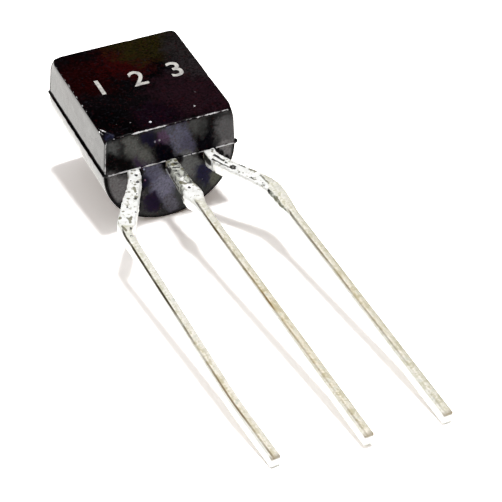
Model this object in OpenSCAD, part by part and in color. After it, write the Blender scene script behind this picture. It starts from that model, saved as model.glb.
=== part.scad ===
// Small-signal transistor in a three-lead, D-shaped moulded package.
// The part is drawn in a package frame and then laid down by lying().
// Package frame: X runs across the body, Y runs from the lead end (y = 0) to the far end,
// and Z points out of the marked flat. The mould's parting plane is z = 0.
// The tops of the leads lie in that plane, and the leads run towards -Y.

/* [Moulded body] */
// Width of the body across the parting line
body_w = 4.4; // [4.2:0.05:5.2]
// Length of the body along the leads
body_h = 4.7; // [4.4:0.05:5.3]
// Depth from the parting line to the marked flat
flat_depth = 1.32; // [1.1:0.02:1.7]
// Depth from the parting line to the bottom of the round back
back_depth = 2.28; // [2.1:0.02:2.6]
// Mould draft of the four walls around the flat, in degrees
flat_draft = 3; // [1:0.5:6]
// Radius of the moulded edges
edge_r = 0.08; // [0.04:0.01:0.16]

/* [Parting line] */
// Thickness of the flash along the parting line
flash_t = 0.04; // [0.03:0.005:0.05]
// How far the flash stands out of the walls
flash_out = 0.03; // [0.02:0.005:0.08]
// Radius of the broken-off nub of flash at the emitter side
nub_r = 0.08; // [0.05:0.01:0.12]
// Thickness of the nub
nub_t = 0.1; // [0.06:0.01:0.16]
// Distance of the nub from the lead end
nub_y = 0.08; // [0.05:0.01:1]

/* [Leads] */
// Distance between neighbouring leads where they leave the body
pitch = 1.27; // [1.2:0.01:1.35]
// Thickness of the lead-frame sheet
lead_t = 0.38; // [0.3:0.01:0.46]
// Width of the thin outer lead
shank_w = 0.28; // [0.24:0.01:0.4]
// Width of the tinned root where it leaves the body
root_w = 0.4; // [0.36:0.01:0.5]
// Width of the tinned root at its shoulder, where the tin is thickest
root_end_w = 0.47; // [0.4:0.01:0.56]
// Thickness of the tin on each face of the root
tin_t = 0.03; // [0.03:0.005:0.05]
// Length of the shoulder between root and thin lead
shoulder = 0.16; // [0.1:0.01:0.3]

/* [Lead forming] */
// Angle at which the outer leads are splayed, in degrees
splay = 30; // [20:1:40]
// Centre-line radius of the first bend, next to the body
bend_r = 0.8; // [0.5:0.05:1.2]
// Centre-line radius of the second bend, which turns the lead straight again
unbend_r = 1.3; // [0.8:0.05:2]
// Part of the second bend that is still tinned root, in degrees
root_turn = 4; // [0:1:15]
// Straight length of the collector and base leads before their first bend
stub = 0.02; // [0.02:0.01:0.3]
// Straight length of the emitter lead before its first bend
emitter_stub = 0.2; // [0.02:0.01:0.3]
// Sideways shift of the collector lead
collector_shift = 1.28; // [1:0.01:1.6]
// Sideways shift of the emitter lead
emitter_shift = 1.09; // [1:0.01:1.6]
// Length of the wide root of the base lead
base_root = 1.85; // [1.2:0.05:2.5]
// Reach of the emitter lead from the body
emitter_reach = 12.8; // [11:0.05:14.5]
// How much shorter the base lead is cut
base_short = 0.1; // [0:0.05:1]
// How much shorter the collector lead is cut
collector_short = 0.5; // [0:0.05:1]
// Sideways lean of the emitter lead, in degrees
emitter_lean = 0.7; // [0:0.1:2]
// Angle at which the base lead's root points towards the collector, in degrees
base_bow = 0.8; // [0:0.1:3]
// Sideways lean of the rest of the base lead, in degrees
base_lean = 0.8; // [0:0.1:2]
// How far the base lead is bent up from the others, in degrees
base_lift = 0.4; // [0.2:0.1:2]
// Inward bend of the collector lead near its tip, in degrees
tail_bend = 3.2; // [0:0.1:6]
// Radius of that bend
tail_r = 15; // [8:1:25]
// Length of the collector lead after that bend
tail = 1.9; // [1:0.1:3]

/* [Inside the moulding] */
// Gap between the pieces of the lead frame
frame_gap = 0.4; // [0.25:0.05:0.45]
// Width of the bond posts
post_w = 0.8; // [0.6:0.05:0.9]
// Distance from the lead end to the base post
base_post_y = 0.9; // [0.7:0.05:1.1]
// Length of the base post
base_post_h = 0.6; // [0.45:0.05:0.75]
// Length of the emitter post
emitter_post_h = 0.9; // [0.7:0.05:1.2]
// How far the emitter post starts past the die flag's lower edge
post_step = 0.2; // [0.1:0.05:0.5]
// Length of the die flag
flag_h = 1.75; // [1.5:0.05:1.9]
// How far the die flag is wider than the collector lead on its outer side
flag_over = 0.12; // [0:0.02:0.3]
// Radius of the locking hole in the die flag
lock_r = 0.22; // [0.15:0.01:0.25]
// Distance of the locking hole from the far edge of the flag
lock_y = 0.42; // [0.35:0.01:0.45]
// Side of the square silicon die
die_w = 0.65; // [0.45:0.05:0.7]
// Thickness of the die
die_t = 0.22; // [0.15:0.01:0.3]
// Thickness of the die-attach layer
attach_t = 0.03; // [0.02:0.005:0.05]
// How far the die-attach layer shows around the die
attach_over = 0.04; // [0.02:0.01:0.06]
// Distance of the die's centre from the flag's lower edge
die_y = 0.6; // [0.5:0.05:0.65]
// Radius of the bond wires
wire_r = 0.025; // [0.02:0.0025:0.04]
// Radius of the ball bond on the die
ball_r = 0.06; // [0.05:0.005:0.08]
// Height of the ball bond
ball_h = 0.04; // [0.03:0.005:0.06]
// Height of the wire loop over the straight line between its ends
loop_h = 0.24; // [0.15:0.01:0.4]

/* [Hidden] */

arc_steps = 6;    // flats in a quarter round of a moulded edge
bend_steps = 8;   // flats in one bend of a lead
seam = 0.01;      // depth to which the two mould halves reach into the flash
tool = 1;         // length by which a cutting shape passes the part
edge_over = 0.003; // the corner cutters stay this far off the walls

// The round back is the arc through both parting edges and its lowest line
back_r = (pow(body_w / 2, 2) + pow(back_depth, 2)) / (2 * back_depth);
back_z = back_r - back_depth;

frame_w = root_w - 2 * tin_t;
collector_reach = emitter_reach - collector_short;
base_reach = emitter_reach - base_short;

flag_x = -pitch - frame_w / 2 - flag_over;
flag_w = pitch - post_w / 2 - frame_gap - flag_x;
flag_y = base_post_y + base_post_h + frame_gap;
die_at = [flag_x + flag_w / 2, flag_y + die_y];
die_top = attach_t + die_t;
bond_x = die_at.x + die_w / 4;

// The part rests on the lead-end rim of its round back and on the tips of the outer leads.
// The rim is a round edge with its centre at [edge_r, -(back_depth - edge_r)].
rim = [edge_r, -(back_depth - edge_r)];
tip_y = rim.x + emitter_reach;
tip_z = rim.y + lead_t;
rest_tilt = asin(edge_r / norm([tip_y, tip_z])) - atan2(tip_z, tip_y);
rest_z = edge_r - rim.x * sin(rest_tilt) - rim.y * cos(rest_tilt);
far_y = (body_h - edge_r) * cos(rest_tilt) - rim.y * sin(rest_tilt) + edge_r;
near_y = -emitter_reach * cos(rest_tilt);

// ---- paths in a plane: a pose is [x, y, heading], and heading 0 points along -Y ----

function ahead(p, d) = [p[0] + d * sin(p[2]), p[1] - d * cos(p[2]), p[2]];

function turned(p, r, a) =
    let (s = sign(a), h = p[2] + a)
    [p[0] + s * r * (cos(p[2]) - cos(h)), p[1] + s * r * (sin(p[2]) - sin(h)), h];

// A step is [length] for a straight or [radius, angle] for a bend
function path(p, steps, k = 0) =
    k == len(steps) ? [p]
    : len(steps[k]) == 1 ? concat([p], path(ahead(p, steps[k][0]), steps, k + 1))
    : concat([for (i = [0 : bend_steps - 1]) turned(p, steps[k][0], steps[k][1] * i / bend_steps)],
             path(turned(p, steps[k][0], steps[k][1]), steps, k + 1));

function last(list) = list[len(list) - 1];

function side(poses, widths, s) =
    [for (i = [0 : len(poses) - 1])
        let (p = poses[i], d = s * widths[i] / 2) [p[0] + d * cos(p[2]), p[1] + d * sin(p[2])]];

function outline(poses, widths) =
    let (back = side(poses, widths, -1), n = len(back))
    concat(side(poses, widths, 1), [for (i = [0 : n - 1]) back[n - 1 - i]]);

function same(poses, w) = [for (p = poses) w];

// Widths from w to end_w, in step with the way each pose lies along the lead
function growing(poses, w, end_w) =
    [for (p = poses) w + (end_w - w) * p[1] / last(poses)[1]];

function arc(c, r, from, to) =
    [for (i = [0 : arc_steps])
        let (a = from + (to - from) * i / arc_steps) [c[0] + r * cos(a), c[1] + r * sin(a)]];

// ---- lead routes ----

// Length of the slanted straight between the two bends of an outer lead
function slant(shift, lean) =
    (shift - bend_r * (1 - cos(splay)) - unbend_r * (cos(lean) - cos(splay))) / sin(splay);

collector_root = path([-pitch, 0, 0], [[stub], [bend_r, -splay],
    [slant(collector_shift, 0)], [unbend_r, root_turn]]);
emitter_root = path([pitch, 0, 0], [[emitter_stub], [bend_r, splay],
    [slant(emitter_shift, emitter_lean)], [unbend_r, -root_turn]]);
base_root_path = path([0, 0, 0], [[stub], [bend_r, -base_bow], [base_root]]);

collector_end = last(collector_root);
emitter_end = last(emitter_root);
base_end = last(base_root_path);

collector_rise = collector_reach + collector_end[1];
collector_run = collector_rise - unbend_r * sin(splay - root_turn)
    - tail_r * sin(tail_bend) - tail * cos(tail_bend);
emitter_run = (emitter_reach + emitter_end[1]
    - unbend_r * (sin(splay - root_turn) - sin(emitter_lean))) / cos(emitter_lean);
base_run = (base_reach + base_end[1] - bend_r * (sin(base_bow) + sin(base_lean)))
    / cos(base_lean);

// The collector lead dips until its tip meets the surface that the emitter's tip rests on
pivot_z = collector_end[1] * sin(rest_tilt) - lead_t / 2 * cos(rest_tilt) + rest_z;
collector_dip = asin(pivot_z / norm([collector_rise, lead_t / 2]))
    - atan2(lead_t / 2, collector_rise) - rest_tilt;

// ---- moulded body ----

function flat_half(w, z) = w / 2 - z * tan(flat_draft);

// Drafted section with rounded top edges, w wide at the parting plane
module flat_section(w) {
    c = flat_half(w, flat_depth - edge_r) - edge_r / cos(flat_draft);
    polygon(concat(
        [[-flat_half(w, seam), seam], [flat_half(w, seam), seam]],
        arc([c, flat_depth - edge_r], edge_r, flat_draft, 90),
        arc([-c, flat_depth - edge_r], edge_r, 90, 180 - flat_draft)));
}

// Rounds off one upright edge, which leans inwards by the draft of both its walls
module upright_edge_cutter() {
    centre = edge_r - edge_over;
    rotate(atan(sqrt(2) * tan(flat_draft)), [1, -1, 0])
        translate([0, 0, -tool])
            linear_extrude(flat_depth + 2 * tool)
                difference() {
                    translate([-centre, -centre]) square(centre + tool);
                    translate([-centre, -centre]) circle(edge_r, $fn = 48);
                }
}

module flat_half_block() {
    difference() {
        intersection() {
            translate([0, body_h + tool, 0])
                rotate([90, 0, 0]) linear_extrude(body_h + 2 * tool) flat_section(body_w);
            translate([-body_w / 2 - tool, body_h / 2, 0])
                rotate([90, 0, 90]) linear_extrude(body_w + 2 * tool) flat_section(body_h);
        }
        for (mx = [0, 1], my = [0, 1])
            translate([0, body_h / 2, 0])
                mirror([mx, 0, 0]) mirror([0, my, 0])
                    translate([body_w / 2, body_h / 2, 0]) upright_edge_cutter();
    }
}

// The round back is turned about its own axis, with both rims rounded
module round_back_block() {
    intersection() {
        translate([0, 0, back_z])
            rotate([-90, 0, 0])
                rotate_extrude($fn = 96)
                    polygon(concat(
                        [[0, 0]],
                        arc([back_r - edge_r, edge_r], edge_r, -90, 0),
                        arc([back_r - edge_r, body_h - edge_r], edge_r, 0, 90),
                        [[0, body_h]]));
        translate([-body_w, -tool, -back_depth - tool])
            cube([2 * body_w, body_h + 2 * tool, back_depth + tool - seam]);
    }
}

module flash() {
    x = body_w / 2 - edge_r;
    y = body_h / 2 - edge_r;
    r = edge_r + flash_out;
    translate([0, body_h / 2, -flash_t / 2])
        linear_extrude(flash_t)
            polygon(concat(arc([x, y], r, 0, 90), arc([-x, y], r, 90, 180),
                           arc([-x, -y], r, 180, 270), arc([x, -y], r, 270, 360)));
    translate([body_w / 2 + flash_out, nub_y, -nub_t / 2]) cylinder(r = nub_r, h = nub_t, $fn = 24);
}

module epoxy_body() {
    color("#1d1b1e")
        lying()
            difference() {
                union() {
                    flat_half_block();
                    round_back_block();
                    flash();
                }
                collector_frame();
                base_frame();
                emitter_frame();
                lead_root(collector_root);
                lead_root(base_root_path);
                lead_root(emitter_root);
                attach_layer();
                die_block();
                bond_wire(base_bond);
                bond_wire(emitter_bond);
            }
}

// ---- lead frame ----

module sheet() {
    translate([0, 0, -lead_t]) linear_extrude(lead_t) children();
}

// Part of a lead inside the body, reaching a little way into its root
module inner_lead(x, to) {
    translate([x - frame_w / 2, -shoulder]) square([frame_w, to + shoulder]);
}

module collector_frame() {
    sheet()
        difference() {
            union() {
                inner_lead(-pitch, flag_y + flag_h / 2);
                translate([flag_x, flag_y]) square([flag_w, flag_h]);
            }
            translate([die_at.x, flag_y + flag_h - lock_y]) circle(lock_r, $fn = 48);
        }
}

module base_frame() {
    sheet() {
        inner_lead(0, base_post_y + base_post_h / 2);
        translate([-post_w / 2, base_post_y]) square([post_w, base_post_h]);
    }
}

module emitter_frame() {
    sheet() {
        inner_lead(pitch, flag_y + post_step + emitter_post_h / 2);
        translate([pitch - post_w / 2, flag_y + post_step]) square([post_w, emitter_post_h]);
    }
}

// Wide root in its coat of tin, from the body to the end of its shoulder
module lead_root(poses) {
    translate([0, 0, -lead_t - tin_t])
        linear_extrude(lead_t + 2 * tin_t)
            polygon(outline(concat(poses, [ahead(last(poses), shoulder)]),
                            concat(growing(poses, root_w, root_end_w), [shank_w + 2 * tin_t])));
}

// Thin lead from the end of a root, tipped down by dip
module shank(from, dip, steps) {
    poses = path([0, 0, 0], steps);
    translate([from[0], from[1], -lead_t / 2])
        rotate([dip, 0, 0])
            rotate([0, 0, from[2]])
                translate([0, 0, -lead_t / 2])
                    linear_extrude(lead_t) polygon(outline(poses, same(poses, shank_w)));
}

module collector_lead() {
    color("#c9c8bd")
        lying() {
            collector_frame();
            lead_root(collector_root);
            shank(collector_end, collector_dip,
                  [[unbend_r, splay - root_turn], [collector_run], [tail_r, tail_bend], [tail]]);
        }
}

module base_lead() {
    color("#c9c8bd")
        lying() {
            base_frame();
            lead_root(base_root_path);
            shank(base_end, -base_lift, [[bend_r, base_bow + base_lean], [base_run]]);
        }
}

module emitter_lead() {
    color("#c9c8bd")
        lying() {
            emitter_frame();
            lead_root(emitter_root);
            shank(emitter_end, 0, [[unbend_r, emitter_lean - splay + root_turn], [emitter_run]]);
        }
}

// ---- die and bond wires ----

module centred_plate(w, t) {
    translate([die_at.x - w / 2, die_at.y - w / 2, 0]) cube([w, w, t]);
}

module attach_layer() {
    centred_plate(die_w + 2 * attach_over, attach_t);
}

module die_block() {
    translate([0, 0, attach_t]) centred_plate(die_w, die_t);
}

// A bond runs from a ball on the die to a stitch on a post: [start, end]
base_bond = [[bond_x, die_at.y - die_w / 4, die_top], [0, base_post_y + base_post_h / 2, 0]];
emitter_bond = [[bond_x, die_at.y + die_w / 4, die_top],
                [pitch, flag_y + post_step + emitter_post_h / 2, 0]];

wire_sides = 8;
wire_steps = 14;

// Wire loop: half an oval that leaves the die and meets the post upright
function loop_point(a, b, t) =
    a + (b - a) * (1 - cos(180 * t)) / 2 + [0, 0, loop_h * sin(180 * t)];

function loop_slope(a, b, t) =
    (b - a) * sin(180 * t) / 2 + [0, 0, loop_h * cos(180 * t)];

function ring(c, dir, across, r) =
    let (u = cross(dir, across) / norm(cross(dir, across)))
    [for (i = [0 : wire_sides - 1]) c + r * (across * cos(360 * i / wire_sides) + u * sin(360 * i / wire_sides))];

module bond_wire(ends) {
    a = ends[0];
    neck = a + [0, 0, ball_h];
    b = ends[1];
    flat = [b.x - a.x, b.y - a.y, 0] / norm([b.x - a.x, b.y - a.y]);
    across = [-flat.y, flat.x, 0];
    up = [0, 0, 1];
    points = concat(
        ring(a, up, across, ball_r),
        ring(neck, up, across, ball_r),
        [for (k = [0 : wire_steps])
            let (t = k / wire_steps, slope = loop_slope(neck, b, t))
            for (p = ring(loop_point(neck, b, t), slope, across, wire_r)) p]);
    n = wire_sides;
    rings = wire_steps + 3;
    polyhedron(points, concat(
        [[for (i = [0 : n - 1]) i]],
        [for (k = [0 : rings - 2], i = [0 : n - 1])
            let (p = k * n + i, q = k * n + (i + 1) % n)
            for (face = [[p, p + n, q], [q, p + n, q + n]]) face],
        [[for (i = [0 : n - 1]) rings * n - 1 - i]]));
}

module die_attach() {
    color("#8f8f94") lying() attach_layer();
}

module silicon_die() {
    color("#5b5f6b") lying() die_block();
}

module base_bond_wire() {
    color("#d8b24a") lying() bond_wire(base_bond);
}

module emitter_bond_wire() {
    color("#d8b24a") lying() bond_wire(emitter_bond);
}

// Lays the package frame down at rest: z = 0 is the surface, and the part's box is centred in Y
module lying() {
    translate([0, -(far_y + near_y) / 2, rest_z]) rotate([rest_tilt, 0, 0]) children();
}

epoxy_body();
collector_lead();
base_lead();
emitter_lead();
die_attach();
silicon_die();
base_bond_wire();
emitter_bond_wire();
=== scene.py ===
"""Looks for a small-signal transistor in a three-lead, D-shaped moulded package.

Every piece is modelled in millimetres in the package frame and then laid down.
Package frame: X runs across the body, Y runs from the lead end (y = 0) to the far end, and
Z points out of the marked flat. The mould's parting plane is z = 0, and the leads run to -Y.
"""

from math import asin, atan2, ceil, copysign, cos, dist, hypot, pi, radians, sin, tan

import bmesh
import bpy
from mathutils import Matrix, Vector, noise


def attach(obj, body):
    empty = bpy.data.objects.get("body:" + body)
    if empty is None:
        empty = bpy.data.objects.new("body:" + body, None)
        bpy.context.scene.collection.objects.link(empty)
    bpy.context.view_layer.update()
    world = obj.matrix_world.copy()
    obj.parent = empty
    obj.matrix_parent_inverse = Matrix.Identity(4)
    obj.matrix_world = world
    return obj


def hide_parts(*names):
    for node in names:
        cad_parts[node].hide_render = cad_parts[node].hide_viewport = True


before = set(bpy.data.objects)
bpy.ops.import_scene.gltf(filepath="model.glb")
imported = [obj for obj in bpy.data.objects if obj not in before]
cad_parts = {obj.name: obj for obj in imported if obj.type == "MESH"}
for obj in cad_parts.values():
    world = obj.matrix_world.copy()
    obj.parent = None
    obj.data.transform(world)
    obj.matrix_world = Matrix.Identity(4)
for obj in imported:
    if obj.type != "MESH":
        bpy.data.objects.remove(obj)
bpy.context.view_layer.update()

MM = 0.001

# ---- driving sizes: lengths in millimetres, and degrees turned into radians ----

BODY_W = 4.4
BODY_H = 4.7
FLAT_DEPTH = 1.32
BACK_DEPTH = 2.28
TAPER = tan(radians(3))  # of the walls, away from the parting plane
EDGE_R = 0.08
FLASH_T = 0.04
FLASH_OUT = 0.03
FLASH_RIDGE = 0.035
NUB_R = 0.08
NUB_T = 0.1
NUB_Y = 0.08

PITCH = 1.27
LEAD_T = 0.38
SHANK_W = 0.28
ROOT_W = 0.4
TIN_T = 0.03
SHOULDER = 0.16

SPLAY = radians(30)
BEND_R = 0.8
UNBEND_R = 1.3
ROOT_TURN = radians(4)
STUB = 0.02
EMITTER_STUB = 0.2
COLLECTOR_SHIFT = 1.28
EMITTER_SHIFT = 1.09
BASE_ROOT = 1.85
EMITTER_REACH = 12.8
BASE_REACH = EMITTER_REACH - 0.1
COLLECTOR_REACH = EMITTER_REACH - 0.5
EMITTER_LEAN = radians(0.7)
BASE_BOW = radians(0.8)
BASE_LEAN = radians(0.8)
BASE_LIFT = radians(0.4)
TAIL_BEND = radians(3.2)
TAIL_R = 15
TAIL = 1.9

FRAME_W = ROOT_W - 2 * TIN_T
FRAME_GAP = 0.4
POST_W = 0.8
BASE_POST_Y = 0.9
BASE_POST_H = 0.6
EMITTER_POST_H = 0.9
FLAG_X = -PITCH - FRAME_W / 2 - 0.12
FLAG_W = PITCH - POST_W / 2 - FRAME_GAP - FLAG_X
FLAG_Y = BASE_POST_Y + BASE_POST_H + FRAME_GAP
FLAG_H = 1.75
EMITTER_POST_Y = FLAG_Y + 0.2
LOCK_R = 0.22
LOCK_Y = FLAG_Y + FLAG_H - 0.42

HALF_W = BODY_W / 2
MID_Y = BODY_H / 2
BACK_R = (HALF_W**2 + BACK_DEPTH**2) / (2 * BACK_DEPTH)
BACK_Z = BACK_R - BACK_DEPTH

# ---- how it lies: on the lead-end rim of the round back and on the two outer lead tips ----

RIM_Y = EDGE_R
RIM_Z = EDGE_R - BACK_DEPTH
TIP_Y = RIM_Y + EMITTER_REACH
TIP_Z = RIM_Z + LEAD_T
REST_TILT = asin(EDGE_R / hypot(TIP_Y, TIP_Z)) - atan2(TIP_Z, TIP_Y)
REST_Z = EDGE_R - RIM_Y * sin(REST_TILT) - RIM_Z * cos(REST_TILT)
FAR_Y = (BODY_H - EDGE_R) * cos(REST_TILT) - RIM_Z * sin(REST_TILT) + EDGE_R
NEAR_Y = -EMITTER_REACH * cos(REST_TILT)
LYING = (
    Matrix.Scale(MM, 4)
    @ Matrix.Translation((0, -(FAR_Y + NEAR_Y) / 2, REST_Z))
    @ Matrix.Rotation(REST_TILT, 4, "X")
)

# ---- routes of the leads: a pose is (x, y, heading), and heading 0 points along -Y ----


def ahead(pose, length):
    x, y, heading = pose
    return (x + length * sin(heading), y - length * cos(heading), heading)


def turned(pose, radius, angle):
    x, y, heading = pose
    side = copysign(radius, angle)
    new = heading + angle
    return (
        x + side * (cos(heading) - cos(new)),
        y + side * (sin(heading) - sin(new)),
        new,
    )


def slant(shift, lean):
    """Length of the slanted straight between the two bends of an outer lead."""
    first = BEND_R * (1 - cos(SPLAY))
    second = UNBEND_R * (cos(lean) - cos(SPLAY))
    return (shift - first - second) / sin(SPLAY)


def step_length(step):
    return step[0] if len(step) == 1 else step[0] * abs(step[1])


def route(start, steps, spacing):
    """Poses along (length,) straights and (radius, angle) bends, about spacing apart."""
    poses = [start]
    for step in steps:
        here = poses[-1]
        count = max(1, round(step_length(step) / spacing))
        for k in range(1, count + 1):
            share = k / count
            if len(step) == 1:
                poses.append(ahead(here, step[0] * share))
            else:
                poses.append(turned(here, step[0], step[1] * share))
    return poses


COLLECTOR_ROOT = [(STUB,), (BEND_R, -SPLAY), (slant(COLLECTOR_SHIFT, 0),), (UNBEND_R, ROOT_TURN)]
BASE_ROOT_STEPS = [(STUB,), (BEND_R, -BASE_BOW), (BASE_ROOT,)]
EMITTER_ROOT = [
    (EMITTER_STUB,),
    (BEND_R, SPLAY),
    (slant(EMITTER_SHIFT, EMITTER_LEAN),),
    (UNBEND_R, -ROOT_TURN),
]

COLLECTOR_END = route((-PITCH, 0, 0), COLLECTOR_ROOT, 1)[-1]
BASE_END = route((0, 0, 0), BASE_ROOT_STEPS, 1)[-1]
EMITTER_END = route((PITCH, 0, 0), EMITTER_ROOT, 1)[-1]

UNBEND = SPLAY - ROOT_TURN
COLLECTOR_RISE = COLLECTOR_REACH + COLLECTOR_END[1]
COLLECTOR_RUN = (
    COLLECTOR_RISE
    - UNBEND_R * sin(UNBEND)
    - TAIL_R * sin(TAIL_BEND)
    - TAIL * cos(TAIL_BEND)
)
EMITTER_RUN = (
    EMITTER_REACH + EMITTER_END[1] - UNBEND_R * (sin(UNBEND) - sin(EMITTER_LEAN))
) / cos(EMITTER_LEAN)
BASE_RUN = (
    BASE_REACH + BASE_END[1] - BEND_R * (sin(BASE_BOW) + sin(BASE_LEAN))
) / cos(BASE_LEAN)

PIVOT_Z = COLLECTOR_END[1] * sin(REST_TILT) - LEAD_T / 2 * cos(REST_TILT) + REST_Z
COLLECTOR_DIP = (
    asin(PIVOT_Z / hypot(COLLECTOR_RISE, LEAD_T / 2))
    - atan2(LEAD_T / 2, COLLECTOR_RISE)
    - REST_TILT
)

# ---- hand tools ----

MERGE = 1e-5


def nothing_selected():
    if bpy.context.object and bpy.context.object.mode != "OBJECT":
        bpy.ops.object.mode_set(mode="OBJECT")
    bpy.ops.object.select_all(action="DESELECT")


def only(piece):
    nothing_selected()
    piece.select_set(True)
    bpy.context.view_layer.objects.active = piece


def applied():
    bpy.ops.object.transform_apply(location=True, rotation=True, scale=True)


def named(name):
    """Names the piece that was just made and applies its size and place."""
    piece = bpy.context.object
    piece.name = name
    piece.data.name = name
    applied()
    return piece


def block(name, centre, size):
    bpy.ops.mesh.primitive_cube_add(size=1, location=centre, scale=size)
    return named(name)


def drum(name, sides, radius, depth, centre, angle=0):
    """A cylinder along Z, or turned about X by an angle."""
    bpy.ops.mesh.primitive_cylinder_add(
        vertices=sides, radius=radius, depth=depth, location=centre, rotation=(angle, 0, 0)
    )
    return named(name)


def edit(piece):
    only(piece)
    bpy.ops.object.mode_set(mode="EDIT")


def leave_edit():
    bpy.ops.object.mode_set(mode="OBJECT")


def choose_all():
    bpy.ops.mesh.select_all(action="SELECT")


def choose(piece, kind, test):
    """Selects the faces or edges of a piece in edit mode for which test is true."""
    bpy.ops.mesh.select_mode(type={"edges": "EDGE", "faces": "FACE"}[kind])
    bpy.ops.mesh.select_all(action="DESELECT")
    mesh = bmesh.from_edit_mesh(piece.data)
    for item in getattr(mesh, kind):
        if test(item):
            item.select_set(True)
    mesh.select_flush_mode()
    bmesh.update_edit_mesh(piece.data)


def rounded(piece, test, offset, segments):
    """Rounds the edges of a piece for which test is true."""
    edit(piece)
    choose(piece, "edges", test)
    bpy.ops.mesh.bevel(offset=offset, segments=segments, affect="EDGES")
    leave_edit()


def edge_run(edge):
    return (edge.verts[1].co - edge.verts[0].co).normalized()


def sliced(piece, axis, first, last, spacing):
    """Cuts a grid of extra edges square to one axis, so that small dents have vertices."""
    edit(piece)
    count = max(1, round((last - first) / spacing))
    normal = [0, 0, 0]
    normal[axis] = 1
    for k in range(1, count):
        point = [0, 0, 0]
        point[axis] = first + (last - first) * k / count
        choose_all()
        bpy.ops.mesh.bisect(plane_co=point, plane_no=normal, threshold=MERGE)
    leave_edit()


def sealed(piece):
    """Merges doubles and turns every face outwards."""
    edit(piece)
    choose_all()
    bpy.ops.mesh.remove_doubles(threshold=MERGE)
    bpy.ops.mesh.normals_make_consistent(inside=False)
    leave_edit()


def with_modifier(piece, kind, **settings):
    only(piece)
    modifier = piece.modifiers.new(kind.title(), kind)
    for name, value in settings.items():
        setattr(modifier, name, value)
    bpy.ops.object.modifier_apply(modifier=modifier.name)


def joined(name, pieces):
    only(pieces[0])
    for piece in pieces[1:]:
        piece.select_set(True)
    bpy.ops.object.join()
    return named(name)


def laid_down(piece, place=LYING):
    only(piece)
    piece.matrix_world = place @ piece.matrix_world
    applied()


def moved(piece, shift):
    """Moves each vertex by shift(place, normal), as a sculptor's brush would."""
    mesh = piece.data
    normals = [v.normal.copy() for v in mesh.vertices]
    for v, normal in zip(mesh.vertices, normals):
        v.co += shift(v.co, normal)
    mesh.update()


def stored(piece, name, values):
    """Keeps one value for each vertex as a named attribute, for the materials."""
    attribute = piece.data.attributes.new(name, "FLOAT", "POINT")
    attribute.data.foreach_set("value", values)


def smooth(piece, degrees=35):
    only(piece)
    bpy.ops.object.shade_smooth_by_angle(angle=radians(degrees))


def rumple(place, grain, seed=0.0):
    """Smooth noise from -1 to 1 with features of about one grain."""
    return noise.noise(place / grain + Vector((seed, 7.3 * seed, 1.7 * seed)))


def near(place, centre, radius):
    """1 at the centre, falling smoothly to 0 at the radius."""
    share = (place - Vector(centre)).length / radius
    return (1 - share * share) ** 2 if share < 1 else 0


def near_line(place, first, last, radius):
    """1 on the line from first to last, falling smoothly to 0 at the radius."""
    run = last - first
    share = min(1, max(0, (place - first).dot(run) / run.length_squared))
    return near(place, first + run * share, radius)


# ---- moulded body ----

GRID = 0.1
ROUND_STEPS = 4
WAVE = 0.004
WAVE_GRAIN = 0.9
RIM_BAND = 0.09
RAGGED_BAND = 0.02

FLAT_NEAR = FLAT_DEPTH * TAPER
FLAT_FAR = BODY_H - FLAT_NEAR
FLAT_X = HALF_W - FLAT_NEAR

# Chips at the edges of the flat: (x, y, radius, depth)
CHIPS = [
    (-1.45, FLAT_NEAR, 0.22, 0.025),
    (-0.3, FLAT_NEAR, 0.12, 0.02),
    (0.52, FLAT_NEAR, 0.14, 0.025),
    (1.15, FLAT_NEAR, 0.1, 0.02),
    (FLAT_X, FLAT_NEAR, 0.34, 0.08),
    (-FLAT_X, FLAT_FAR, 0.34, 0.07),
    (FLAT_X, FLAT_FAR, 0.22, 0.04),
    (FLAT_X, 1.9, 0.14, 0.02),
    (0.6, FLAT_FAR, 0.15, 0.02),
]

# The corner that is broken off at the collector side: where the break meets the three edges
BREAK_ALONG = Vector((-FLAT_X, 0.75, FLAT_DEPTH))
BREAK_ACROSS = Vector((-1.7, FLAT_NEAR, FLAT_DEPTH))
BREAK_DOWN = Vector((-FLAT_X, FLAT_NEAR, FLAT_DEPTH - 0.2))
BREAK_RIM = 0.04
BREAK_HOLLOW = 0.015
BODY_CORE = Vector((0, MID_Y, 0))


def chipped(place):
    inward = (BODY_CORE - place).normalized()
    depth = sum(deep * near(place, (x, y, FLAT_DEPTH), radius) for x, y, radius, deep in CHIPS)
    return inward * depth * (1 + 0.5 * rumple(place, 0.12, 3))


def broken_corner(half):
    facing = (BREAK_ACROSS - BREAK_ALONG).cross(BREAK_DOWN - BREAK_ALONG).normalized()
    if facing.z < 0:
        facing = -facing
    edit(half)
    choose_all()
    bpy.ops.mesh.bisect(
        plane_co=BREAK_ALONG, plane_no=facing, use_fill=True, clear_outer=True, threshold=MERGE
    )
    choose(half, "faces", lambda f: f.normal.dot(facing) > 0.999)
    bpy.ops.mesh.inset(thickness=BREAK_RIM, depth=-BREAK_HOLLOW)
    bpy.ops.mesh.poke()
    leave_edit()


def flat_half():
    half = block("flat_half", (0, MID_Y, FLAT_DEPTH / 2), (BODY_W, BODY_H, FLAT_DEPTH))
    lost = 2 * FLAT_DEPTH * TAPER
    edit(half)
    choose(half, "faces", lambda f: f.normal.z > 0.9)
    bpy.ops.transform.resize(
        value=(1 - lost / BODY_W, 1 - lost / BODY_H, 1),
        center_override=(0, MID_Y, FLAT_DEPTH),
    )
    leave_edit()
    rounded(half, lambda e: max(v.co.z for v in e.verts) > MERGE, EDGE_R, ROUND_STEPS)
    sliced(half, 0, -HALF_W, HALF_W, GRID)
    sliced(half, 1, 0, BODY_H, GRID)
    sliced(half, 2, 0, FLAT_DEPTH, 2 * GRID)
    broken_corner(half)
    return half


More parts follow.
